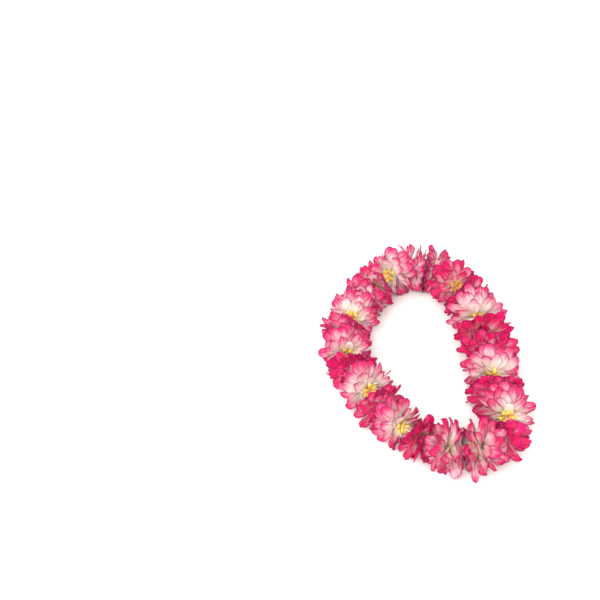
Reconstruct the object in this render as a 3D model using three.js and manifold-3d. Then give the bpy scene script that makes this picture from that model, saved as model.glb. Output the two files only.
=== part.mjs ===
// A flower lei laid down in a long loop: one knotted string with ruffled blooms threaded on it through
// their middles. Each bloom is three stamped discs of petals, pressed together at their roots, and carries a
// small yellow heart in its mouth. Millimetres, +Z up. +Y is the long way of the loop, z = 0 is the
// surface it lies on.
import * as THREE from "three";
import { mergeVertices } from "three/addons/utils/BufferGeometryUtils.js";
import Module from "manifold-3d";

const wasm = await Module();
wasm.setup();

// ---------- driving dimensions ----------
const STRING_LENGTH = 914; // a 36 inch lei
const STRING_RADIUS = 1.0;
const STRING_SIDES = 5;
const BORE_SIDES = 6;
const STRING_HEIGHT = 32; // of its centre line above the surface
const BLOOM_COUNT = 24;
const PITCH = STRING_LENGTH / BLOOM_COUNT;
const BACK_SHARE = 0.4; // how much of the pitch lies behind a bloom's middle

// How the string lies, seen from above: its bends, in proportion, counter-clockwise.
const ROUTE = [
  [109, 46], [97, 136], [58, 183], [-5, 178], [-72, 110], [-104, 34],
  [-86, -53], [-51, -126], [2, -166], [50, -168], [88, -134], [91, -66],
];

const BORE_GAP = 0.35; // between the string and what is threaded on it
const SLOT_GAP = 0.3; // from a bloom to the plane half way to the next bloom
const PETAL_THICKNESS = 1.1; // at the midrib; a petal thins to its edges

// Where along a petal its outline is given, and how wide it is there.
const LONG_OUTLINE = [[0.46, 0.94], [0.82, 0.8]];
const SHORT_OUTLINE = [[0.6, 1]];

// The whorls of a bloom, from the back to the mouth, and the whorl of its heart. Each is one stamped
// disc, raised to a boss before and behind its root. Angles are in degrees from the way the bloom faces.
const BACK_WHORL = {
  count: 7, root: -4.5, before: 4, behind: 3.5,
  angle: 98, curl: 18, length: 38.5, width: 22, cup: 12, play: 1,
};
const MIDDLE_WHORL = {
  count: 6, root: -1.5, before: 4, behind: 4,
  angle: 72, curl: 12, length: 39, width: 22, cup: 14, play: 1,
};
const OPEN_MOUTH = {
  count: 5, root: 1.5, before: 2.5, behind: 4,
  angle: 54, curl: 10, length: 28, width: 17, cup: 14, play: 0.8,
};
const SHUT_MOUTH = { ...OPEN_MOUTH, angle: 42, length: 33 };
const HEART = {
  count: 5, root: 5.8, before: 2.2, behind: 1.3,
  angle: 22, curl: 12, length: 10.5, width: 6.5, cup: 10, play: 0.4,
};
const OUTLINES = new Map([[BACK_WHORL, LONG_OUTLINE], [MIDDLE_WHORL, LONG_OUTLINE]]);
const SLIT = 0.2; // of a petal's length, where it parts from the next petal of its disc
const ROOT_RADIUS = 2; // where the midribs of a whorl start

// How long the petals of each bloom are, against its whorls.
const FULLNESS = [
  1.14, 1.06, 1, 1.05, 1.1, 0.98, 0.96, 0.97, 1, 1, 1, 1,
  1, 0.98, 0.9, 0.88, 0.96, 1, 1.06, 1.1, 1.1, 1.08, 1.12, 1.15,
];

// How far one petal may differ from the next.
const TURN_SPREAD = 8; // degrees round the bloom
const ANGLE_SPREAD = 7;
const CURL_SPREAD = 12;
const TWIST_SPREAD = 34;
const LENGTH_SPREAD = 0.09;

// The blooms face the near end. Some have rolled over on the string and show their mouths to someone who
// stands there. Those between are squeezed, and look on along the string. Angles are in degrees.
const OPEN_BLOOMS = new Set([1, 3, 6, 9, 11, 13, 15, 17, 18, 20, 22]);
const FACE_WAY = new THREE.Vector3(0, -0.5, 0.87);
const OPEN_LEAN = 48;
const SHUT_LEAN = -6;
const LEAN_SPREAD = 5;
const LEAN_TURN_SPREAD = 20;
const WALL_BEHIND = 38; // how far the place of an open bloom leans back behind it
const WALL_AHEAD = -16; // and before it
const LEAST_ANGLE = 22; // no petal leans further in, over the string

const BEND_STEP = 3; // degrees, when a petal is bent clear of its neighbours
const SHORTEN = 0.97; // with each step of bending
const ATTEMPTS = 60;

const rad = THREE.MathUtils.degToRad;

// ---------- seeded draws ----------
// A generator of numbers from -1 to 1 that gives the same row for the same seed.
function drawsFor(seed) {
  let state = (seed * 7919 + 12345) % 4294967296;
  const next = () => {
    state = (state * 1664525 + 1013904223) % 4294967296;
    return state / 2147483648 - 1;
  };
  next();
  next();
  return next;
}

// ---------- the run of the string ----------
class StringRun extends THREE.Curve {
  constructor() {
    super();
    this.scale = 1;
    this.arcLengthDivisions = 2400;
    this.scale = STRING_LENGTH / this.getLength();
    this.updateArcLengths();
  }

  // A closed Catmull-Rom spline through the bends of the route.
  getPoint(share, target = new THREE.Vector3()) {
    const count = ROUTE.length;
    const place = (share - Math.floor(share)) * count;
    const k = Math.floor(place);
    const f = place - k;
    const [p0, p1, p2, p3] = [-1, 0, 1, 2].map((step) => ROUTE[(k + step + count) % count]);
    const blend = (axis) => {
      const before = (p2[axis] - p0[axis]) / 2;
      const after = (p3[axis] - p1[axis]) / 2;
      const cubic = 2 * p1[axis] - 2 * p2[axis] + before + after;
      const square = 3 * p2[axis] - 3 * p1[axis] - 2 * before - after;
      return this.scale * (((cubic * f + square) * f + before) * f + p1[axis]);
    };
    return target.set(blend(0), blend(1), STRING_HEIGHT);
  }
}

const UP = new THREE.Vector3(0, 0, 1);
const run = new StringRun();

// The place on the string at a distance along it, with the directions there.
function frameAt(distance) {
  const share = (distance / STRING_LENGTH + 1) % 1;
  const along = run.getTangentAt(share);
  along.z = 0;
  along.normalize();
  return { at: run.getPointAt(share), along, out: new THREE.Vector3().crossVectors(along, UP) };
}

// ---------- solids ----------
function solidFrom(geometry) {
  const bare = (geometry.index ? geometry.toNonIndexed() : geometry.clone());
  bare.deleteAttribute("normal");
  bare.deleteAttribute("uv");
  const merged = mergeVertices(bare, 1e-4);
  return new wasm.Manifold(new wasm.Mesh({
    numProp: 3,
    vertProperties: merged.attributes.position.array,
    triVerts: new Uint32Array(merged.index.array),
  }));
}

function geometryFrom(solid) {
  const mesh = solid.getMesh();
  const geometry = new THREE.BufferGeometry();
  geometry.setAttribute("position", new THREE.BufferAttribute(new Float32Array(mesh.vertProperties), 3));
  geometry.setIndex(new THREE.BufferAttribute(new Uint32Array(mesh.triVerts), 1));
  return geometry;
}

// Fusing can seal a hollow or leave a scrap: the hollow is filled and the scrap is dropped.
function mainBody(solid) {
  return solid.decompose().reduce((a, b) => (b.volume() > a.volume() ? b : a));
}

// A tube that follows the string all the way round: a torus, laid along the string's run.
const TUBE_STEPS = 2 * BLOOM_COUNT;

function tubeAlongString(radius, sides) {
  const wheel = 100; // the torus's own radius, which is taken out again
  const geometry = new THREE.TorusGeometry(wheel, radius, sides, TUBE_STEPS);
  const places = geometry.attributes.position;
  for (let i = 0; i < places.count; i++) {
    const [x, y, z] = [places.getX(i), places.getY(i), places.getZ(i)];
    const turn = Math.atan2(y, x) / (2 * Math.PI);
    const step = (Math.round(turn * TUBE_STEPS) + TUBE_STEPS) % TUBE_STEPS;
    const { at, out } = frameAt((step / TUBE_STEPS) * STRING_LENGTH);
    at.addScaledVector(out, Math.hypot(x, y) - wheel).addScaledVector(UP, z);
    places.setXYZ(i, at.x, at.y, at.z);
  }
  return solidFrom(geometry);
}

// The knot that closes the loop, with its two trimmed ends.
const KNOT = { radius: 2.2, tube: 0.95, steps: 20, sides: 5 };
const TAIL = { length: 7.5, splay: 24, turn: 38 };

function stringWithKnot() {
  const { at, along, out } = frameAt(0);
  const stand = new THREE.Matrix4().makeBasis(out, UP, along.clone().negate()).setPosition(at);
  const knot = new THREE.TorusKnotGeometry(KNOT.radius, KNOT.tube, KNOT.steps, KNOT.sides, 2, 3);
  let solid = tubeAlongString(STRING_RADIUS, STRING_SIDES).add(solidFrom(knot.applyMatrix4(stand)));
  for (const side of [1, -1]) {
    const tail = new THREE.CylinderGeometry(STRING_RADIUS, STRING_RADIUS, TAIL.length, KNOT.sides);
    tail.translate(0, TAIL.length / 2, 0).rotateX(side * rad(TAIL.splay)).rotateZ(side * rad(TAIL.turn));
    solid = solid.add(solidFrom(tail.applyMatrix4(stand)));
  }
  return mainBody(solid);
}

// A closed disc of petals from its two bosses and, for each petal, the slit before it, its rows of
// [left, front, back, right] points and its tip. Both faces are split into triangles alike.
function discSolid(bosses, petals) {
  const points = [...bosses];
  const faces = [];
  const add = (point) => points.push(point) - 1;
  const slits = petals.map(({ slit }) => add(slit));
  petals.forEach(({ rows, tip }, i) => {
    const inner = [slits[i], 0, 1, slits[(i + 1) % petals.length]];
    const end = add(tip);
    const bands = [inner, ...rows.map((row) => row.map(add)), [end, end, end, end]];
    for (let band = 1; band < bands.length; band++) {
      const [left, front, back, right] = bands[band - 1];
      const [outerLeft, outerFront, outerBack, outerRight] = bands[band];
      for (const [rib, outerRib, turned] of [[front, outerFront, false], [back, outerBack, true]]) {
        const half = [[left, outerLeft, outerRib], [left, outerRib, rib]];
        half.push([rib, outerRib, right], [outerRib, outerRight, right]);
        faces.push(...half.map(([a, b, c]) => (turned ? [a, c, b] : [a, b, c])));
      }
    }
  });
  const whole = faces.filter(([a, b, c]) => a !== b && b !== c && c !== a);
  const geometry = new THREE.BufferGeometry().setFromPoints(points);
  geometry.setIndex(whole.flat());
  const solid = solidFrom(geometry);
  if (solid.volume() > 0) return solid;
  geometry.setIndex(whole.flatMap(([a, b, c]) => [a, c, b]));
  return solidFrom(geometry);
}

// ---------- where each bloom sits ----------
// A bloom has the stretch of string from one wall to the next.
function bloomAt(index) {
  const draw = drawsFor(index + 1);
  const start = index * PITCH;
  const facing = frameAt(start + PITCH / 2).along.y < 0 ? 1 : -1;
  const middle = start + PITCH * (facing > 0 ? BACK_SHARE : 1 - BACK_SHARE);
  const frame = frameAt(middle);
  const forward = frame.along.clone().multiplyScalar(facing);
  const isOpen = OPEN_BLOOMS.has(index + 1);
  const lean = rad((isOpen ? OPEN_LEAN : SHUT_LEAN) + LEAN_SPREAD * draw());
  const leanTurn = Math.atan2(FACE_WAY.dot(frame.out), FACE_WAY.z) + rad(LEAN_TURN_SPREAD * draw());
  const open = rad(ANGLE_SPREAD * draw());
  return { index, facing, frame, forward, isOpen, lean, leanTurn, open };
}

// The direction away from the string at a turn round it, 0 being straight up.
function radialOf(frame, turn) {
  return UP.clone().multiplyScalar(Math.cos(turn)).addScaledVector(frame.out, Math.sin(turn));
}

const blooms = Array.from({ length: BLOOM_COUNT }, (_, index) => bloomAt(index));

// The way square to a bloom's wall that comes before it (-1) or after it (1) on the string.
function wallOf(bloom, side) {
  let tilt = bloom.lean;
  if (bloom.isOpen) tilt = rad(side === bloom.facing ? WALL_AHEAD : WALL_BEHIND);
  const way = bloom.forward.clone().multiplyScalar(Math.cos(tilt));
  way.addScaledVector(radialOf(bloom.frame, bloom.leanTurn), Math.sin(tilt));
  return way.multiplyScalar(bloom.facing);
}

// The wall between bloom index - 1 and bloom index. An open bloom has its own way beside a shut one.
function dividerBefore(index) {
  const after = blooms[index % BLOOM_COUNT];
  const before = blooms[(index + BLOOM_COUNT - 1) % BLOOM_COUNT];
  const { at } = frameAt(index * PITCH);
  const ways = [wallOf(before, 1), wallOf(after, -1)];
  if (before.isOpen !== after.isOpen) return { at, normal: ways[before.isOpen ? 0 : 1] };
  return { at, normal: ways[0].add(ways[1]).normalize() };
}

const dividers = blooms.map((_, index) => dividerBefore(index));

// How far the points reach past the front and the back of the bloom's slot.
function reachPast(bloom, points) {
  const first = dividers[bloom.index];
  const last = dividers[(bloom.index + 1) % BLOOM_COUNT];
  const depth = (plane, point) => point.clone().sub(plane.at).dot(plane.normal);
  const pastFirst = Math.max(...points.map((p) => SLOT_GAP - depth(first, p)));
  const pastLast = Math.max(...points.map((p) => SLOT_GAP + depth(last, p)));
  return bloom.facing > 0 ? { front: pastLast, back: pastFirst } : { front: pastFirst, back: pastLast };
}

// ---------- petals ----------
// The way a petal's midrib runs: its points along the way the bloom faces and out from the string.
function midrib(bloom, petal, share) {
  const turned = bloom.lean * Math.cos(petal.turn - bloom.leanTurn);
  const lean = Math.max(turned, rad(LEAST_ANGLE) - petal.angle) + petal.bend;
  const angleAt = (t) => petal.angle + petal.curl * t + lean * (1 + t) / 2;
  const steps = 8;
  let [forth, out] = [petal.root, ROOT_RADIUS];
  for (let i = 0; i < steps; i++) {
    const angle = angleAt(((i + 0.5) / steps) * share);
    forth += (Math.cos(angle) * petal.length * share) / steps;
    out += (Math.sin(angle) * petal.length * share) / steps;
  }
  return { forth, out, angle: angleAt(share) };
}

// A place by its turn round the string, its reach out from it, and how far forward it is.
function place(bloom, turn, out, forth, aside = 0) {
  const point = bloom.frame.at.clone().addScaledVector(bloom.forward, forth);
  point.addScaledVector(radialOf(bloom.frame, turn), out);
  return point.addScaledVector(radialOf(bloom.frame, turn + Math.PI / 2), aside);
}

// The left, front, back and right points of a petal at a share of its length. Its edges are kept to the
// petal's own sector, so that the petals of one disc never cross.
function rowOf(bloom, petal, share, width) {
  const { forth, out, angle } = midrib(bloom, petal, share);
  const edge = (side) => {
    const tilt = petal.cup + side * petal.twist * share;
    const rise = (width / 2) * Math.sin(tilt);
    const reach = out - rise * Math.cos(angle);
    const room = 0.93 * reach * Math.tan(side > 0 ? petal.roomAfter : petal.roomBefore);
    const aside = side * Math.min((width / 2) * Math.cos(tilt), room);
    return place(bloom, petal.turn, reach, forth + rise * Math.sin(angle), aside);
  };
  const rib = (side) => {
    const rise = (side * PETAL_THICKNESS) / 2;
    return place(bloom, petal.turn, out - rise * Math.cos(angle), forth + rise * Math.sin(angle));
  };
  return onSurface([edge(-1), rib(1), rib(-1), edge(1)]);
}

// Keeps a row of points on or above the surface, with the upper rib still above the lower one.
function onSurface([left, front, back, right]) {
  const [low, high] = front.z < back.z ? [front, back] : [back, front];
  for (const point of [left, low, right]) point.z = Math.max(point.z, 0);
  high.z = Math.max(high.z, low.z + 0.7 * PETAL_THICKNESS);
  return [left, front, back, right];
}

function petalPoints(bloom, petal) {
  const rows = petal.outline.map(([share, width]) => rowOf(bloom, petal, share, width * petal.width));
  const { forth, out } = midrib(bloom, petal, 1);
  const tip = place(bloom, petal.turn, out, forth);
  tip.z = Math.max(tip.z, 0);
  return { rows, tip };
}

// Bends a petal, and shortens it a little each time, until it is clear of the neighbouring blooms.
function clearPetal(bloom, petal) {
  for (let attempt = 0; attempt < ATTEMPTS; attempt++) {
    const { rows, tip } = petalPoints(bloom, petal);
    const past = reachPast(bloom, [...rows.flat(), tip]);
    if (past.front <= 0 && past.back <= 0) return { rows, tip };
    petal.bend += rad(past.front > past.back ? BEND_STEP : -BEND_STEP);
    petal.length *= SHORTEN;
  }
  throw new Error(`a petal of bloom ${bloom.index + 1} can not be bent clear`);
}

function whorlSolid(bloom, whorl, draw, stagger) {
  const petals = Array.from({ length: whorl.count }, (_, i) => ({
    outline: OUTLINES.get(whorl) ?? SHORT_OUTLINE,
    root: whorl.root,
    bend: 0,
    turn: ((i + stagger) / whorl.count) * 2 * Math.PI + rad(whorl.play * TURN_SPREAD * draw()),
    angle: rad(whorl.angle + whorl.play * ANGLE_SPREAD * draw()) + bloom.open,
    curl: rad(whorl.curl + whorl.play * CURL_SPREAD * draw()),
    twist: rad(whorl.play * TWIST_SPREAD * draw()),
    cup: rad(whorl.cup),
    width: whorl.width,
    length: whorl.length * FULLNESS[bloom.index] * (1 + LENGTH_SPREAD * draw()),
  }));
  petals.forEach((petal, i) => {
    const before = petals.at(i - 1);
    petal.roomBefore = ((petal.turn - before.turn + 2 * Math.PI) % (2 * Math.PI)) / 2;
    before.roomAfter = petal.roomBefore;
  });
  const shapes = petals.map((petal) => clearPetal(bloom, petal));
  shapes.forEach((shape, i) => {
    const ribs = [petals.at(i - 1), petals[i]].map((petal) => midrib(bloom, petal, SLIT));
    const [forth, out] = ["forth", "out"].map((way) => (ribs[0][way] + ribs[1][way]) / 2);
    shape.slit = place(bloom, petals[i].turn - petals[i].roomBefore, out, forth);
  });
  const bosses = [whorl.root + whorl.before, whorl.root - whorl.behind];
  return discSolid(bosses.map((forth) => place(bloom, 0, 0, forth)), shapes);
}

const BORE_RADIUS = (STRING_RADIUS + BORE_GAP) / Math.cos(Math.PI / BORE_SIDES); // to its corners
const bore = tubeAlongString(BORE_RADIUS, BORE_SIDES);

function threadedSolid(bloom, whorls, seed) {
  const draw = drawsFor(seed);
  const discs = whorls.map((whorl, row) => whorlSolid(bloom, whorl, draw, row / 2 + bloom.index * 0.37));
  return mainBody(discs.reduce((a, b) => a.add(b)).subtract(bore));
}

// ---------- the lei ----------
const petalPink = new THREE.MeshStandardMaterial({ color: 0xe0307c, roughness: 0.75 });
const heartYellow = new THREE.MeshStandardMaterial({ color: 0xf0c53a, roughness: 0.8 });
const threadWhite = new THREE.MeshStandardMaterial({ color: 0xe8e2d2, roughness: 0.9 });

const lei = new THREE.Group();

function addNode(name, solid, material) {
  const mesh = new THREE.Mesh(geometryFrom(solid), material);
  mesh.name = name;
  lei.add(mesh);
}

addNode("string", stringWithKnot(), threadWhite);
for (const bloom of blooms) {
  const number = String(bloom.index + 1).padStart(2, "0");
  const whorls = [BACK_WHORL, MIDDLE_WHORL, bloom.isOpen ? OPEN_MOUTH : SHUT_MOUTH];
  addNode(`bloom_${number}`, threadedSolid(bloom, whorls, 100 * (bloom.index + 1)), petalPink);
  addNode(`heart_${number}`, threadedSolid(bloom, [HEART], 100 * (bloom.index + 1) + 50), heartYellow);
}

// The origin is under the middle of the lei, on the surface.
const box = new THREE.Box3().setFromObject(lei);
const middle = box.getCenter(new THREE.Vector3());
lei.position.set(-middle.x, -middle.y, -box.min.z);

export default lei;
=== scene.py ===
import math

import bmesh
import bpy
import numpy as np
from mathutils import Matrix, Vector


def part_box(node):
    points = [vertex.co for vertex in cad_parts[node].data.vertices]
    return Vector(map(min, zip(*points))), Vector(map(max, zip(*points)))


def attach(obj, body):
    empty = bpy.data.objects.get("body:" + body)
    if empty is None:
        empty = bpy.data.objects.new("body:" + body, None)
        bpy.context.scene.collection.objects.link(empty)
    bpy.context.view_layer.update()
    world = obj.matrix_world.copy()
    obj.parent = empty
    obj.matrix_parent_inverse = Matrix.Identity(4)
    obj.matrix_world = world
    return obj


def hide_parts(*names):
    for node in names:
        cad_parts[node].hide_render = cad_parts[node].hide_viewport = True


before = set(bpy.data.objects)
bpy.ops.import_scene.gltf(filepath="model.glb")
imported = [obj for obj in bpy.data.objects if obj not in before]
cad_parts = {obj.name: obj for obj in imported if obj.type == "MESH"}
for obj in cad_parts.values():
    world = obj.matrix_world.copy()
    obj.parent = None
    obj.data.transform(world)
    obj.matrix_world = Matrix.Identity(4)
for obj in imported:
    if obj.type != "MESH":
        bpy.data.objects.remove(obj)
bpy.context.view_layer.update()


# ---------------------------------------------------------------- the view
# The lei lies on a table and is seen from its near end, 45 degrees down, through a moderate lens. In the
# photograph's frame of 600 x 600 the middle of the picture is a bare place on the table, up and left of it.
VIEW_MIDDLE = Vector((-0.1518, 0.1716, 0.0))
VIEW_TURN = math.radians(10.33)  # of the line of sight, clockwise from the lei's long way
VIEW_DOWN = math.radians(45)
VIEW_DISTANCE = 1.5377
LENS = 57.69  # mm
SENSOR_WIDTH = 36  # mm

camera = bpy.data.objects.new("camera", bpy.data.cameras.new("camera"))
camera.data.lens = LENS
camera.data.sensor_width = SENSOR_WIDTH
level = math.cos(VIEW_DOWN)
sight = Vector((math.sin(VIEW_TURN) * level, math.cos(VIEW_TURN) * level, -math.sin(VIEW_DOWN)))
camera.location = VIEW_MIDDLE - sight * VIEW_DISTANCE
camera.rotation_euler = sight.to_track_quat("-Z", "Y").to_euler()
bpy.context.scene.collection.objects.link(camera)
bpy.context.scene.camera = camera


# ---------------------------------------------------------------- the string
# A thin off-white cotton string of three plies runs through every bloom. It is laid in an uneven oval and
# closed with one hard little knot, its two ends trimmed short.
MM = 0.001
STRING_LENGTH = 914
STRING_RADIUS = 1.0
STRING_HEIGHT = 32  # of its middle, above the table
STRING_STATIONS = 48  # of the CAD tube
ROUTE_SAMPLES = 4801
ROUTE_NUDGE = 1e-4  # of the loop, for the way along it
ROUTE = np.array([
    (109, 46), (97, 136), (58, 183), (-5, 178), (-72, 110), (-104, 34),
    (-86, -53), (-51, -126), (2, -166), (50, -168), (88, -134), (91, -66),
], float)

UP = np.array([0.0, 0.0, 1.0])


def route_point(share):
    """A place on the closed Catmull-Rom spline through the bends of the route, before it is scaled."""
    count = len(ROUTE)
    place = (np.asarray(share, float) % 1) * count
    k = np.floor(place).astype(int)
    f = (place - k)[..., None]
    p0, p1, p2, p3 = (ROUTE[(k + step) % count] for step in (-1, 0, 1, 2))
    before = (p2 - p0) / 2
    after = (p3 - p1) / 2
    cubic = 2 * p1 - 2 * p2 + before + after
    square = 3 * p2 - 3 * p1 - 2 * before - after
    return ((cubic * f + square) * f + before) * f + p1


fine_shares = np.linspace(0, 1, ROUTE_SAMPLES)
fine_points = route_point(fine_shares)
fine_lengths = np.r_[0, np.cumsum(np.linalg.norm(np.diff(fine_points, axis=0), axis=1))]
route_scale = STRING_LENGTH / fine_lengths[-1]
fine_lengths *= route_scale


def string_at(distance):
    """The string's place, the way along it and the way out of the loop, at distances along it in mm."""
    share = np.interp(np.asarray(distance, float) % STRING_LENGTH, fine_lengths, fine_shares)
    flat = route_point(share) * route_scale
    way = route_point(share + ROUTE_NUDGE) - route_point(share - ROUTE_NUDGE)
    way /= np.linalg.norm(way, axis=-1, keepdims=True)
    height = np.full(flat.shape[:-1] + (1,), STRING_HEIGHT)
    along = np.concatenate([way, np.zeros_like(height)], axis=-1)
    return np.concatenate([flat, height], axis=-1), along, np.cross(along, UP)


# The CAD string says where the route lies in the frame: its low edge is the tube's own.
stations, _, station_out = string_at(np.arange(STRING_STATIONS) * STRING_LENGTH / STRING_STATIONS)
own_low = (stations - STRING_RADIUS * np.abs(station_out))[:, :2].min(axis=0)
shift = np.append(np.array(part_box("string")[0])[:2] / MM - own_low, 0)


def place_vertices(vertices, points):
    """Puts bmesh vertices at points of the route's own frame, in mm."""
    for vertex, point in zip(vertices, (points + shift) * MM):
        vertex.co = point


def finished(name, bm, material, node):
    """Makes the piece that stands for a CAD node."""
    mesh = bpy.data.meshes.new(name)
    bm.to_mesh(mesh)
    bm.free()
    mesh.materials.append(material)
    piece = bpy.data.objects.new(name, mesh)
    bpy.context.scene.collection.objects.link(piece)
    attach(piece, "root")
    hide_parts(node)
    return piece


class Wire:
    """A shader socket that takes part in Python sums."""

    def __init__(self, finish, socket):
        self.finish = finish
        self.socket = socket

    def math(self, operation, *values):
        return self.finish.node("ShaderNodeMath", {"operation": operation}, dict(enumerate(values)))

    def __add__(self, other):
        return self.math("ADD", self, other)

    def __sub__(self, other):
        return self.math("SUBTRACT", self, other)

    def __rsub__(self, other):
        return self.math("SUBTRACT", other, self)

    def __mul__(self, other):
        return self.math("MULTIPLY", self, other)

    def __pow__(self, other):
        return self.math("POWER", self, other)

    __radd__ = __add__
    __rmul__ = __mul__

    def abs(self):
        return self.math("ABSOLUTE", self)

    def larger(self, other):
        return self.math("MAXIMUM", self, other)

    def sine(self):
        return self.math("SINE", self)


class Finish:
    """A material and the nodes that feed its one shader."""

    def __init__(self, name, **constants):
        self.material = bpy.data.materials.new(name)
        self.material.use_nodes = True
        self.tree = self.material.node_tree
        self.shader = self.tree.nodes["Principled BSDF"]
        for socket, value in constants.items():
            label = socket.replace("_", " ").title().replace("Ior", "IOR")
            self.shader.inputs[label].default_value = value

    def node(self, kind, settings=None, inputs=None, output=0):
        """Adds a node, makes its settings and fills its inputs. Gives one of its outputs."""
        node = self.tree.nodes.new(kind)
        for setting, value in (settings or {}).items():
            setattr(node, setting, value)
        for key, value in (inputs or {}).items():
            if isinstance(value, Wire):
                self.tree.links.new(value.socket, node.inputs[key])
            else:
                node.inputs[key].default_value = value
        return Wire(self, node.outputs[output])

    def mix(self, share, first, second):
        return self.node("ShaderNodeMix", {"data_type": "RGBA"}, {0: share, 6: first, 7: second}, 2)

    def step(self, value, start, end):
        """0 below start, 1 above end, smooth between."""
        settings = {"interpolation_type": "SMOOTHSTEP"}
        return self.node("ShaderNodeMapRange", settings, {0: value, 1: start, 2: end, 3: 0.0, 4: 1.0})

    def bump(self, strength, depth, height):
        return self.node("ShaderNodeBump", inputs={"Strength": strength, "Distance": depth, "Height": height})

    def feed(self, **wires):
        for socket, wire in wires.items():
            self.tree.links.new(wire.socket, self.shader.inputs[socket.replace("_", " ").title()])


def eye_colour(red, green, blue):
    """A linear colour from the eye's 0 to 255."""
    return tuple((part / 255) ** 2.2 for part in (red, green, blue)) + (1.0,)


cotton = Finish("cotton_string", roughness=0.85)
cotton_place = cotton.node("ShaderNodeTexCoord", output=3)
fibre = cotton.node("ShaderNodeTexNoise", inputs={"Vector": cotton_place, "Scale": 900.0})
cotton.feed(base_color=cotton.mix(fibre, eye_colour(214, 205, 184), eye_colour(240, 234, 220)))
cotton.feed(normal=cotton.bump(0.4, 0.0002, fibre))

PLIES = 3
PLY_DEPTH = 0.16  # of the radius
PLY_TURN = 7.0  # mm of string for one turn
STRING_SIDES = 12
STRING_STEPS = 1280
END_BLUNTNESS = 30  # the higher, the flatter a cut end


def twisted_tube(bm, centres, radius, steps, closed):
    """A tube of twisted plies. centres(share) gives places, two ways square to the run, and the run in mm."""
    grid = bmesh.ops.create_grid(bm, x_segments=steps, y_segments=STRING_SIDES, size=0.5)["verts"]
    share = np.array([v.co.x + 0.5 for v in grid])
    turn = np.array([v.co.y + 0.5 for v in grid]) * 2 * math.pi
    places, first, second, run = centres(share)
    ply = 1 + PLY_DEPTH * (np.cos(PLIES * (turn - 2 * math.pi * run / PLY_TURN)) - 1)
    end = np.ones_like(share)
    if not closed:
        end = np.sqrt(np.clip(1 - np.abs(2 * share - 1) ** END_BLUNTNESS, 0, 1))
    reach = (radius * ply * end)[:, None]
    place_vertices(grid, places + reach * (first * np.cos(turn)[:, None] + second * np.sin(turn)[:, None]))


def loop_centres(share):
    places, _, out = string_at(share * STRING_LENGTH)
    return places, out, np.broadcast_to(UP, out.shape), share * STRING_LENGTH


string_bm = bmesh.new()
twisted_tube(string_bm, loop_centres, STRING_RADIUS, STRING_STEPS, True)

# The knot lies over the join: the string winds round it in a tight trefoil.
KNOT_RADIUS = 2.2
KNOT_TUBE = 0.95
KNOT_RUN = 28  # mm of string in it
KNOT_STEPS = 96
KNOT_TURNS = 2
KNOT_LOOPS = 1.5  # of the trefoil, for one turn round it
KNOT_NUDGE = 0.01
TAIL_LENGTH = 7.5
TAIL_TUBE = 0.98
TAIL_STEPS = 24
TAIL_SPLAY = math.radians(24)
TAIL_TURN = math.radians(38)
MERGE_DISTANCE = 1e-6

knot_at, knot_along, knot_out = string_at(0.0)


def knot_centres(share):
    turn = share * KNOT_TURNS * 2 * math.pi

    def trefoil(turn):
        reach = KNOT_RADIUS * (2 + np.cos(KNOT_LOOPS * turn)) / 2
        x = reach * np.cos(turn)
        y = reach * np.sin(turn)
        z = KNOT_RADIUS * np.sin(KNOT_LOOPS * turn) / 2
        return knot_at + x[:, None] * knot_out + y[:, None] * UP - z[:, None] * knot_along

    run = trefoil(turn + KNOT_NUDGE) - trefoil(turn - KNOT_NUDGE)
    run /= np.linalg.norm(run, axis=1, keepdims=True)
    away = trefoil(turn) - knot_at
    first = np.cross(run, away)
    first /= np.linalg.norm(first, axis=1, keepdims=True)
    return trefoil(turn), first, np.cross(run, first), share * KNOT_RUN


twisted_tube(string_bm, knot_centres, KNOT_TUBE, KNOT_STEPS, True)
for side in (1, -1):
    # The tail stands up, leans by the splay and is then turned about the string.
    tilt = np.array([0, math.cos(side * TAIL_SPLAY), math.sin(side * TAIL_SPLAY)])
    turned = np.array([-math.sin(side * TAIL_TURN) * tilt[1], math.cos(side * TAIL_TURN) * tilt[1], tilt[2]])
    tail_way = turned[0] * knot_out + turned[1] * UP - turned[2] * knot_along
    tail_side = np.cross(tail_way, knot_out)
    tail_side /= np.linalg.norm(tail_side)

    def tail_centres(share, way=tail_way, first=tail_side):
        run = share * TAIL_LENGTH
        places = knot_at + run[:, None] * way
        second = np.broadcast_to(np.cross(way, first), places.shape)
        return places, np.broadcast_to(first, places.shape), second, run

    twisted_tube(string_bm, tail_centres, TAIL_TUBE, TAIL_STEPS, False)
bmesh.ops.remove_doubles(string_bm, verts=string_bm.verts, dist=MERGE_DISTANCE)
bmesh.ops.recalc_face_normals(string_bm, faces=string_bm.faces)
for face in string_bm.faces:
    face.smooth = True
finished("string_twisted", string_bm, cotton.material, "string")


# ---------------------------------------------------------------- the blooms
# Each bloom is a stack of stamped discs of thin dyed cloth, slit into petals and pressed into ruffles. The
# string runs through the middle of the stack, and every bloom keeps to its own stretch of it.
BLOOM_COUNT = 24
PITCH = STRING_LENGTH / BLOOM_COUNT
BACK_SHARE = 0.4  # of a bloom's stretch, behind its middle
SLOT_GAP = 0.3
ROOT_RADIUS = 2
FACE_WAY = np.array([0, -0.5, 0.87])  # to which the blooms have rolled
LEAN_SPREAD = 5
LEAN_TURN_SPREAD = 20
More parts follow.
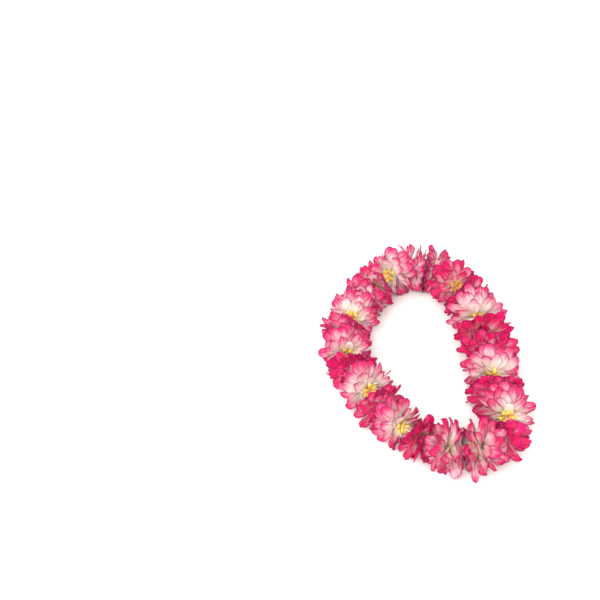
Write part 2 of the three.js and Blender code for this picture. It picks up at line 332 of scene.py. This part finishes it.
# Some blooms have rolled over on the string and show their faces. Those between are squeezed and look on
# along the string. A bloom that took less dye is whiter.
OPEN_BLOOMS = {1, 3, 6, 9, 11, 13, 15, 17, 18, 20, 22}
OPEN_LEAN = 48
SHUT_LEAN = -6
NEAR_LEAN = 22
NEAR_BLOOMS = {17, 18}  # which meet face to face at the near end
WALL_BEHIND = 38  # degrees that an open bloom's stretch leans, at its back and at its front
WALL_AHEAD = -16
DYE_SHARES = [
    0.00, 0.85, 0.70, 0.40, 0.25, 0.05, 0.35, 0.30, 0.15, 0.60, 0.35, 0.95,
    0.10, 0.70, 0.30, 1.00, 0.45, 0.35, 0.85, 0.40, 0.90, 0.00, 0.85, 1.00,
]
# How long the petals of each bloom are, against its whorls.
FULLNESS = [
    1.14, 1.06, 1, 1.05, 1.1, 0.98, 0.96, 0.97, 1, 1, 1, 1,
    1, 0.98, 0.9, 0.88, 0.96, 1, 1.06, 1.1, 1.1, 1.08, 1.12, 1.15,
]
# How far the seeded draws play, in degrees, and for the length as a share of it.
TURN_SPREAD = 8
ANGLE_SPREAD = 7
CURL_SPREAD = 12
TWIST_SPREAD = 24
LENGTH_SPREAD = 0.09
# A petal that would cross into the next bloom's stretch is bent clear in steps.
BEND_STEP = math.radians(3)
SHORTEN = 0.985
ATTEMPTS = 60
LEAST_ANGLE = math.radians(22)  # no petal leans further in, over the string

# The discs of a bloom, from its back to its mouth: petals, place along the axis, angle from it, curl, length,
# width and cup of a petal, and how freely the petals play.
WHORLS = [
    dict(count=9, root=-7.0, angle=112, curl=16, length=34, width=15.5, cup=8, play=1.3),
    dict(count=8, root=-4.5, angle=98, curl=18, length=38.5, width=17, cup=9, play=1.1),
    dict(count=8, root=-3.0, angle=86, curl=14, length=39, width=17, cup=10, play=1.3),
    dict(count=7, root=-1.5, angle=74, curl=12, length=39, width=17.5, cup=10, play=1.1),
    dict(count=7, root=0.0, angle=63, curl=10, length=36, width=17, cup=12, play=1.3),
    dict(count=7, root=1.5, angle=54, curl=8, length=34, width=16, cup=12, play=1.2),
]
# The disc in its mouth, which is long where the bloom is shut or is one of the two at the near end.
OPEN_MOUTH = dict(count=6, root=3.0, angle=45, curl=8, length=23, width=13.5, cup=12, play=1.2)
SHUT_MOUTH = dict(count=7, root=3.0, angle=36, curl=10, length=36, width=16, cup=14, play=1.3)
# The small discs behind a bloom, which fill its stretch of string.
COLLARS = [
    dict(count=8, root=-10.5, angle=102, curl=20, length=32, width=15.5, cup=8, play=1.3),
    dict(count=8, root=-13.5, angle=108, curl=20, length=27, width=15, cup=8, play=1.3),
]
# Loose petals at the near end: two have slipped out and lie on the table, and three reach over the gap
# between the two blooms there. Each has the number of its bloom, the way it hangs and a twist of its own, and
# isn't bent clear. The dye runs less far up the two on the table.
SLIPPED = dict(count=1, curl=8, length=47, width=17, cup=6, play=0.1)
REACHING = dict(count=1, root=0, width=17, cup=10, play=0.2)
LOOSE_PETALS = [
    (17, (0, -0.87, -0.5), dict(SLIPPED, root=-2, angle=56, twist=95, dyed=31)),
    (18, (0, -0.87, -0.5), dict(SLIPPED, root=-3, angle=60, twist=-80, dyed=37)),
    (18, (0.2, -0.35, 0.9), dict(REACHING, angle=8, curl=18, length=40, twist=14)),
    (18, (0, -0.87, 0.4), dict(REACHING, angle=20, curl=14, length=38, twist=-12)),
    (17, (0, -0.6, 0.75), dict(REACHING, angle=14, curl=16, length=38, twist=12)),
]
WHORL_STAGGER = 0.37  # of a petal, from one bloom to the next
COLLAR_STAGGER = 0.61

PETAL_ROWS = 8
PETAL_COLUMNS = 7
PETAL_THICKNESS = 0.32
ROW_CROWDING = 1.6  # of the rows, towards the tip
BEND_STATIONS = 24  # along a petal
NARROW_ROOT = 0.25  # of the full width
WIDEST_AT = 0.6  # of the length
ROOT_FULLNESS = 0.9
TIP_ROUNDNESS = 3
CUP_DEPTH = 1.7  # the higher, the flatter the middle of a cupped petal
CUP_PULL = 0.7  # of the cup's angle draws its sides in
FOLD = 45  # degrees that the cup of a folded petal gains
FOLD_RARITY = 2.5  # the higher, the fewer petals are folded
FLICK = math.radians(38)  # of a tip
OVERLAP = math.radians(6)  # of a petal's side over the next one
WAVE = 2.3  # mm, along the sides
WAVE_RIPPLES = 7
WAVE_SLANT = 1.3
CREASE = 1.5  # mm, along the middle
CREASES = 1.6
LOWEST = 0.25  # mm above the table
LOWEST_SPREAD = 0.12
DYE_LENGTH = 40  # mm of petal for the whole run of the dye
BLOOM_DYE = 0.6  # of the dye is the bloom's own share
PETAL_DYE = 0.2

PETAL_SEED = 100
RUFFLE_SEED = 7
SEED_FACTOR = 7919
SEED_START = 12345
DRAW_RANGE = 2 ** 32
DRAW_FACTOR = 1664525
DRAW_STEP = 1013904223
DRAWS_SKIPPED = 2


def draws_for(seed):
    """Numbers from -1 to 1, the same row for the same seed."""
    state = (seed * SEED_FACTOR + SEED_START) % DRAW_RANGE
    count = 0
    while True:
        state = (state * DRAW_FACTOR + DRAW_STEP) % DRAW_RANGE
        count += 1
        if count > DRAWS_SKIPPED:
            yield state / (DRAW_RANGE / 2) - 1


class Bloom:
    """A bloom's place on the string and the way it stands there."""

    def __init__(self, index):
        draws = draws_for(index + 1)
        start = index * PITCH
        self.index = index
        self.number = index + 1
        self.is_near = self.number in NEAR_BLOOMS
        self.facing = 1 if string_at(start + PITCH / 2)[1][1] < 0 else -1
        middle = start + PITCH * (BACK_SHARE if self.facing > 0 else 1 - BACK_SHARE)
        self.at, along, self.out = string_at(middle)
        self.forward = along * self.facing
        self.is_open = self.number in OPEN_BLOOMS
        lean = SHUT_LEAN
        if self.is_open:
            lean = NEAR_LEAN if self.is_near else OPEN_LEAN
        self.fullness = FULLNESS[index]
        self.lean = math.radians(lean + LEAN_SPREAD * next(draws))
        toward = math.atan2(np.dot(FACE_WAY, self.out), FACE_WAY[2])
        self.lean_turn = toward + math.radians(LEAN_TURN_SPREAD * next(draws))
        self.open = math.radians(ANGLE_SPREAD * next(draws))

    def radial(self, turn):
        """The way out from the string at a turn round it."""
        return UP * math.cos(turn) + self.out * math.sin(turn)

    def wall(self, side):
        """The way square to the wall of the bloom's place, before it (-1) or after it (1) on the string."""
        tilt = self.lean
        if self.is_open:
            tilt = math.radians(WALL_AHEAD if side == self.facing else WALL_BEHIND)
        return (self.forward * math.cos(tilt) + self.radial(self.lean_turn) * math.sin(tilt)) * self.facing


blooms = [Bloom(index) for index in range(BLOOM_COUNT)]
dividers = []
for index, bloom in enumerate(blooms):
    before = blooms[index - 1]
    if before.is_open == bloom.is_open:
        normal = before.wall(1) + bloom.wall(-1)
    else:
        normal = before.wall(1) if before.is_open else bloom.wall(-1)
    dividers.append((string_at(index * PITCH)[0], normal / np.linalg.norm(normal)))


def reach_past(bloom, points):
    """How far points reach past the front and the back of the bloom's stretch."""
    first_at, first_way = dividers[bloom.index]
    last_at, last_way = dividers[bloom.number % BLOOM_COUNT]
    past_first = SLOT_GAP - ((points - first_at) @ first_way).min()
    past_last = SLOT_GAP + ((points - last_at) @ last_way).max()
    return (past_last, past_first) if bloom.facing > 0 else (past_first, past_last)


def petal_width(share):
    """A petal's width at a share of its length: a narrow root, a full middle and a round tip."""
    rising = NARROW_ROOT + (1 - NARROW_ROOT) * np.clip(share / WIDEST_AT, 0, 1) ** ROOT_FULLNESS
    fall = np.clip((share - WIDEST_AT) / (1 - WIDEST_AT), 0, 1)
    return rising * np.clip(1 - fall ** TIP_ROUNDNESS, 0, 1) ** 0.5


def petal_points(bloom, petal, share, side):
    """Places on a petal, in mm, at a share of its length and from -1 to 1 across it."""
    lean = bloom.lean * math.cos(petal["turn"] - bloom.lean_turn)
    lean = max(lean, LEAST_ANGLE - petal["angle"]) + petal["bend"]
    steps = np.linspace(0, 1, BEND_STATIONS + 1)
    curled = petal["angle"] + petal["curl"] * steps + lean * (1 + steps) / 2
    angles = curled + petal["flick"] * np.clip(steps - WIDEST_AT, 0, 1) / (1 - WIDEST_AT)
    stride = petal["length"] / BEND_STATIONS
    middles = (angles[1:] + angles[:-1]) / 2
    forth_run = petal["root"] + np.r_[0, np.cumsum(np.cos(middles))] * stride
    out_run = ROOT_RADIUS + np.r_[0, np.cumsum(np.sin(middles))] * stride
    forth, out, angle = (np.interp(share, steps, run) for run in (forth_run, out_run, angles))
    half = petal["width"] / 2 * petal_width(share)
    tilt = petal["twist"] * share + petal["overlap"]
    ripple = np.sin(WAVE_RIPPLES * share + WAVE_SLANT * side + petal["phase"])
    wave = petal["wave"] * share ** 1.5 * np.abs(side) * ripple
    furrow = np.cos(CREASES * math.pi * side + petal["phase"])
    crease = petal["crease"] * share * furrow * np.sin(share * math.pi)
    rise = half * (np.sin(petal["cup"]) * np.abs(side) ** CUP_DEPTH + side * np.sin(tilt)) + wave + crease
    aside = half * side * np.cos(tilt) * math.cos(petal["cup"] * CUP_PULL)
    radial = bloom.radial(petal["turn"])
    across = bloom.radial(petal["turn"] + math.pi / 2)
    reach = (out - rise * np.cos(angle))[:, None]
    forth = (forth + rise * np.sin(angle))[:, None]
    points = bloom.at + bloom.forward * forth + radial * reach + across * aside[:, None]
    points[:, 2] = np.maximum(points[:, 2], petal["lowest"])
    return points


def clear_petal(bloom, petal, share, side):
    """Bends a petal, and shortens it a little each time, until it is clear of the neighbouring blooms."""
    for _ in range(ATTEMPTS):
        points = petal_points(bloom, petal, share, side)
        past_front, past_back = reach_past(bloom, points)
        if past_front <= 0 and past_back <= 0:
            break
        petal["bend"] += BEND_STEP if past_front > past_back else -BEND_STEP
        petal["length"] *= SHORTEN
    return points


def new_layers(bm):
    """The petal's map, and what the dye and the painted glow go by: its tone, its nearness to the throat and
    its reach.
    """
    petal_map = bm.loops.layers.uv.new("petal")
    return [petal_map] + [bm.verts.layers.float.new(name) for name in ("tone", "throat", "reach")]


def add_whorl(bm, bloom, whorl, draws, stagger, layers, ruffle, throat=0.0):
    """Adds a disc of petals. The draws say how they stand, and the ruffle how their cloth was pressed."""
    uv_layer, tone_layer, throat_layer, reach_layer = layers
    play = whorl["play"]
    for i in range(whorl["count"]):
        place = (i + stagger) / whorl["count"] * 2 * math.pi
        petal = dict(
            turn=place + math.radians(play * TURN_SPREAD * next(draws)),
            angle=math.radians(whorl["angle"] + play * ANGLE_SPREAD * next(draws)) + bloom.open,
            curl=math.radians(whorl["curl"] + play * CURL_SPREAD * next(draws)),
            twist=math.radians(whorl.get("twist", 0) + play * TWIST_SPREAD * next(draws)),
            length=whorl["length"] * bloom.fullness * (1 + LENGTH_SPREAD * next(draws)),
            root=whorl["root"],
            width=whorl["width"],
            bend=0.0,
            cup=math.radians(whorl["cup"] + FOLD * max(0, next(ruffle)) ** FOLD_RARITY),
            flick=FLICK * next(ruffle) * play,
            overlap=OVERLAP,
            wave=WAVE * next(ruffle) * play,
            crease=CREASE * next(ruffle),
            phase=math.pi * next(ruffle),
            lowest=LOWEST + LOWEST_SPREAD * (1 + next(ruffle)),
        )
        tone = BLOOM_DYE * DYE_SHARES[bloom.index] + PETAL_DYE * (next(ruffle) + 1)
        grid = bmesh.ops.create_grid(bm, x_segments=PETAL_COLUMNS, y_segments=PETAL_ROWS, size=0.5)["verts"]
        across = np.array([v.co.x + 0.5 for v in grid])
        length_share = 1 - (1 - np.array([v.co.y + 0.5 for v in grid])) ** ROW_CROWDING
        shaped = petal_points if "twist" in whorl else clear_petal
        points = shaped(bloom, petal, length_share, 2 * across - 1)
        place_vertices(grid, points)
        where = {vertex: (u, v) for vertex, u, v in zip(grid, across, length_share)}
        for vertex in grid:
            vertex[reach_layer] = where[vertex][1] * whorl.get("dyed", whorl["length"]) / DYE_LENGTH
            vertex[tone_layer] = tone
            vertex[throat_layer] = throat
        for face in {face for vertex in grid for face in vertex.link_faces}:
            face.smooth = True
            for loop in face.loops:
                loop[uv_layer].uv = where[loop.vert]


def thicken(piece):
    """Gives the petals of a piece the thickness of their cloth."""
    cloth = piece.modifiers.new("cloth", "SOLIDIFY")
    cloth.thickness = PETAL_THICKNESS * MM
    cloth.offset = 0


def petal_axes(finish):
    """The place on a petal, across it and along it, each from 0 to 1."""
    petal_map = finish.node("ShaderNodeUVMap", {"uv_map": "petal"})
    axes = finish.node("ShaderNodeSeparateXYZ", inputs={0: petal_map}).socket.node.outputs
    return Wire(finish, axes[0]), Wire(finish, axes[1])


def petal_value(finish, name):
    return finish.node("ShaderNodeAttribute", {"attribute_name": name}, output=2)


def noise(finish, x, y, z, **inputs):
    place = finish.node("ShaderNodeCombineXYZ", inputs={0: x, 1: y, 2: z})
    return finish.node("ShaderNodeTexNoise", inputs={"Vector": place, "Scale": 1.0, **inputs})


# The dye runs in streaks from the tips of the petals towards their roots, and the discs near the throat took
# the least. It has gathered along the cut edge. The pink of the discs at the back, which lie deep in the
# bloom's shade, is partly dye and partly painted glow of light coming through the cloth.
CREAM = eye_colour(255, 247, 230)
# Partly dye and partly painted glow: the back discs lie in the bloom's shade, and their pink stands for light
# coming through the cloth.
BACK_PINK_AND_GLOW = eye_colour(255, 190, 200)
PINK = eye_colour(252, 108, 152)
MAGENTA = eye_colour(238, 14, 92)
# Partly dye and partly painted warm glow of light coming through the cloth in the bloom's shaded centre.
YELLOW_AND_GLOW = eye_colour(255, 228, 120)
CUT_EDGE = eye_colour(122, 14, 84)
STREAKS = 19  # across a petal
STREAK_STRENGTH = 1.5
BLOTCHES = 2.5
BLOTCH_STRENGTH = 0.4
TONE_STRENGTH = 0.66
SIDE_STRENGTH = 0.1
EDGE_STRENGTH = 0.85
WEAVE_STRENGTH = 0.08
WEFT = 420  # the weave, across a petal and along it
WARP = 640
# Where each colour starts and where it is full: first by the dye's own run, then by the place on the petal.
PINK_RANGE = (0.37, 0.72)
MAGENTA_RANGE = (0.55, 0.9)
EDGE_RANGE = (0.35, 0.7)
YELLOW_AND_GLOW_RANGE = (0.08, 0.42)
SIDE_EDGE_ACROSS = (0.8, 0.95)
SIDE_EDGE_ALONG = (0.5, 0.8)
TIP_EDGE_ALONG = (0.92, 0.975)

petal_cloth = Finish(
    "petal_cloth", roughness=0.55, specular_ior_level=0.3, subsurface_weight=0.5, subsurface_scale=0.003,
)
petal_cloth.shader.inputs["Subsurface Radius"].default_value = (1.0, 0.7, 0.7)
across, along = petal_axes(petal_cloth)
tone = petal_value(petal_cloth, "tone")
throat = petal_value(petal_cloth, "throat")
reach = petal_value(petal_cloth, "reach")
from_rib = (across * 2 - 1).abs()
streak = noise(petal_cloth, across * STREAKS, along * 1.3, tone * 40, Detail=4.0, Roughness=0.65)
blotch = noise(petal_cloth, across * BLOTCHES, along * 3, tone * 31, Detail=2.0)
dyed = reach + (streak - 0.5) * STREAK_STRENGTH + from_rib ** 3.0 * SIDE_STRENGTH * along
dyed = dyed + (blotch - 0.5) * BLOTCH_STRENGTH + (tone - 0.5) * (1 - reach ** 5.0) * TONE_STRENGTH
pink_share = petal_cloth.step(dyed, *PINK_RANGE)
magenta_share = petal_cloth.step(dyed, *MAGENTA_RANGE)
# Yellow at the roots of the front discs: partly dye, partly painted warm glow in the shaded centre.
yellow_and_glow_share = (1 - petal_cloth.step(reach + (streak - 0.5) * 0.2, *YELLOW_AND_GLOW_RANGE)) * throat
side_edge = petal_cloth.step(from_rib, *SIDE_EDGE_ACROSS) * petal_cloth.step(along, *SIDE_EDGE_ALONG)
tip_edge = petal_cloth.step(along, *TIP_EDGE_ALONG)
edge_share = side_edge.larger(tip_edge) * petal_cloth.step(dyed, *EDGE_RANGE) * EDGE_STRENGTH
# The back discs take the pink that is partly painted glow, and the discs near the mouth take cream.
colour = petal_cloth.mix(throat, BACK_PINK_AND_GLOW, CREAM)
colour = petal_cloth.mix(pink_share, colour, PINK)
colour = petal_cloth.mix(magenta_share, colour, MAGENTA)
colour = petal_cloth.mix(yellow_and_glow_share, colour, YELLOW_AND_GLOW)
colour = petal_cloth.mix(edge_share, colour, CUT_EDGE)
petal_cloth.feed(base_color=colour)
weave = (across * WEFT).sine() * (along * WARP).sine()
petal_cloth.feed(normal=petal_cloth.bump(0.8, 0.0016, streak + weave * WEAVE_STRENGTH))

for bloom in blooms:
    bm = bmesh.new()
    layers = new_layers(bm)
    seed = PETAL_SEED * bloom.number
    draws = draws_for(seed)
    ruffle = draws_for(seed + RUFFLE_SEED)
    whorls = WHORLS + [OPEN_MOUTH if bloom.is_open and not bloom.is_near else SHUT_MOUTH]
    for row, whorl in enumerate(whorls):
        nearness = max(0, row - 1) / (len(whorls) - 2)
        add_whorl(bm, bloom, whorl, draws, row / 2 + bloom.index * WHORL_STAGGER, layers, ruffle, nearness)
    for number, way, petal in LOOSE_PETALS:
        if number == bloom.number:
            turn = math.atan2(np.dot(way, bloom.out), way[2])
            add_whorl(bm, bloom, petal, draws, turn / (2 * math.pi), layers, ruffle)
    for row, whorl in enumerate(COLLARS):
        add_whorl(bm, bloom, whorl, draws, row / 2 + bloom.index * COLLAR_STAGGER, layers, ruffle)
    name = f"petals_{bloom.number:02d}"
    thicken(finished(name, bm, petal_cloth.material, f"bloom_{bloom.number:02d}"))


# ---------------------------------------------------------------- the hearts
# In the mouth of each bloom sits a small rosette of two discs of yellow cloth, orange at its root.
HEART_WHORLS = [
    dict(count=5, root=5.8, angle=24, curl=12, length=11, width=6.5, cup=10, play=0.6),
    dict(count=7, root=5.0, angle=44, curl=14, length=12, width=6.5, cup=14, play=1),
]
HEART_SEED = 50
HEART_ORANGE = eye_colour(240, 150, 60)
HEART_YELLOW = eye_colour(255, 232, 110)
RIPPLE_STRENGTH = 0.4
RIPENESS = 0.9

heart_cloth = Finish("heart_cloth", roughness=0.6, sheen_weight=0.2)
heart_across, heart_along = petal_axes(heart_cloth)
heart_tone = petal_value(heart_cloth, "tone")
ripple = noise(heart_cloth, heart_across * 9, heart_along * 2, heart_tone * 20, Detail=2.0)
ripened = heart_along + (ripple - 0.5) * RIPPLE_STRENGTH + (0.4 - heart_tone) * RIPENESS
heart_cloth.feed(base_color=heart_cloth.mix(heart_cloth.step(ripened, 0.0, 0.7), HEART_ORANGE, HEART_YELLOW))
heart_cloth.feed(normal=heart_cloth.bump(0.5, 0.0004, ripple))

for bloom in blooms:
    bm = bmesh.new()
    layers = new_layers(bm)
    seed = PETAL_SEED * bloom.number + HEART_SEED
    draws = draws_for(seed)
    ruffle = draws_for(seed + RUFFLE_SEED)
    for row, whorl in enumerate(HEART_WHORLS):
        add_whorl(bm, bloom, whorl, draws, row / 2 + bloom.index * WHORL_STAGGER, layers, ruffle)
    name = f"heart_rosette_{bloom.number:02d}"
    thicken(finished(name, bm, heart_cloth.material, f"heart_{bloom.number:02d}"))


# ---------------------------------------------------------------- the table and the light
# A plain pale table in a bright, even, soft light from all round. One large lamp stands at the left, a
# fainter one at the right, and one in front.
TABLE_HALF = 6  # metres
TABLE_COLOUR = (0.87, 0.845, 0.825, 1)

table_bm = bmesh.new()
bmesh.ops.create_grid(table_bm, x_segments=1, y_segments=1, size=TABLE_HALF)
table_mesh = bpy.data.meshes.new("table")
table_bm.to_mesh(table_mesh)
table_bm.free()
table = bpy.data.objects.new("table", table_mesh)
bpy.context.scene.collection.objects.link(table)
pale = Finish("pale_table", roughness=0.9)
pale.shader.inputs["Base Color"].default_value = TABLE_COLOUR
table_mesh.materials.append(pale.material)

# name, place, size and power
LAMPS = [
    ("lamp_left", (-1.4, -0.8, 2.2), 1.8, 60),
    ("lamp_right", (1.8, 0.4, 2.0), 1.8, 12),
    ("lamp_front", (-0.5, -1.7, 1.9), 1.6, 36),
]
for name, place, size, power in LAMPS:
    light = bpy.data.lights.new(name, "AREA")
    light.size = size
    light.energy = power
    lamp = bpy.data.objects.new(name, light)
    lamp.location = place
    lamp.rotation_euler = (-Vector(place)).to_track_quat("-Z", "Y").to_euler()
    bpy.context.scene.collection.objects.link(lamp)

SKY_COLOUR = (1.0, 0.975, 0.94, 1)
SKY_STRENGTH = 0.85

world = bpy.data.worlds.new("studio")
world.use_nodes = True
sky = world.node_tree.nodes["Background"]
sky.inputs["Color"].default_value = SKY_COLOUR
sky.inputs["Strength"].default_value = SKY_STRENGTH
bpy.context.scene.world = world
bpy.context.scene.view_settings.view_transform = "Standard"
